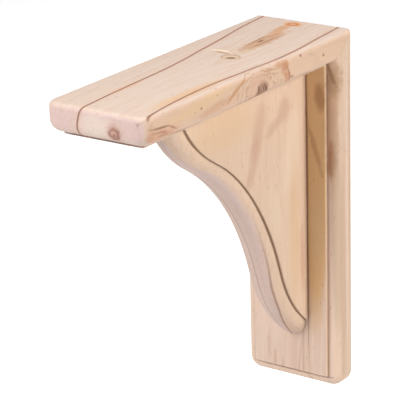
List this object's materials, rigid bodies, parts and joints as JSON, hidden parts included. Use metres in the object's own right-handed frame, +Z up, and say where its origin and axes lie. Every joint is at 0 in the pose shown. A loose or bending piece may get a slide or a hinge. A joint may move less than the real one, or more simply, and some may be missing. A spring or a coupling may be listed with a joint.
{
  "type": "wooden corbel bracket",
  "caption": "Unfinished pine shelf corbel: a moulded shelf board mitred to a moulded wall plate, with an ogee brace in the corner between them.",
  "frame": {"origin": "centre of the wall plate's back face, in the wall plane and halfway between the top of the shelf board and the foot of the plate", "axes": "+Y into the wall, so the bracket stands out towards -Y; +Z up, towards the face that carries the load; +X across the width, to the right of someone who faces the wall"},
  "size_m": [0.064, 0.195, 0.213],
  "materials": {
    "board_pine": "planed and sanded, unfinished",
    "plate_pine": "planed and sanded, unfinished",
    "brace_pine": "planed and sanded, unfinished"
  },
  "bodies": {
    "root": {"top_board": "board_pine", "back_plate": "plate_pine", "brace": "brace_pine"}
  },
  "joints": []
}
